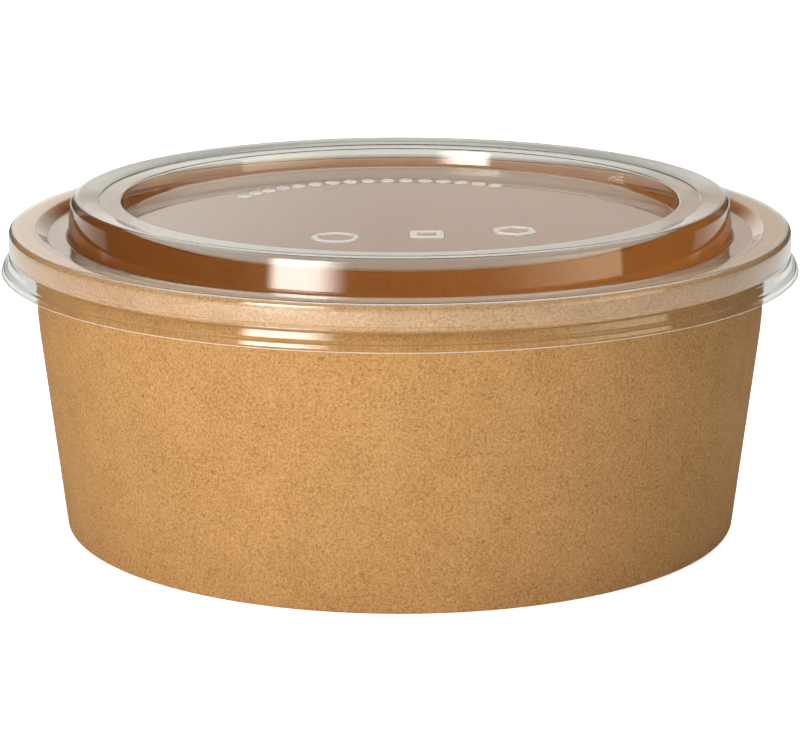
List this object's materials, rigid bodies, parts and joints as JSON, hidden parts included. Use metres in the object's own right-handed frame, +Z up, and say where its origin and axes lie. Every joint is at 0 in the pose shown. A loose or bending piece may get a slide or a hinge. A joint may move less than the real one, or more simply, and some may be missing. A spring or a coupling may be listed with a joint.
{
  "type": "paper salad bowl with clear lid",
  "caption": "Round takeaway salad bowl of brown kraft board, leaning wall, curled rim and raised base, shut by a clear push-on lid with a low dome and sunk panel.",
  "frame": {"origin": "centre of the foot, on the surface the bowl stands on", "axes": "+Z up along the axis of the bowl and its lid, -Y towards the viewer of the picture"},
  "size_m": [0.1536, 0.1536, 0.064],
  "materials": {
    "kraft_board": "uncoated brown kraft outside, thin matt barrier film inside",
    "clear_sheet": "thin clear thermoformed plastic, glossy"
  },
  "bodies": {
    "root": {"side_wall": "kraft_board", "base": "kraft_board", "lid": "clear_sheet"}
  },
  "joints": []
}
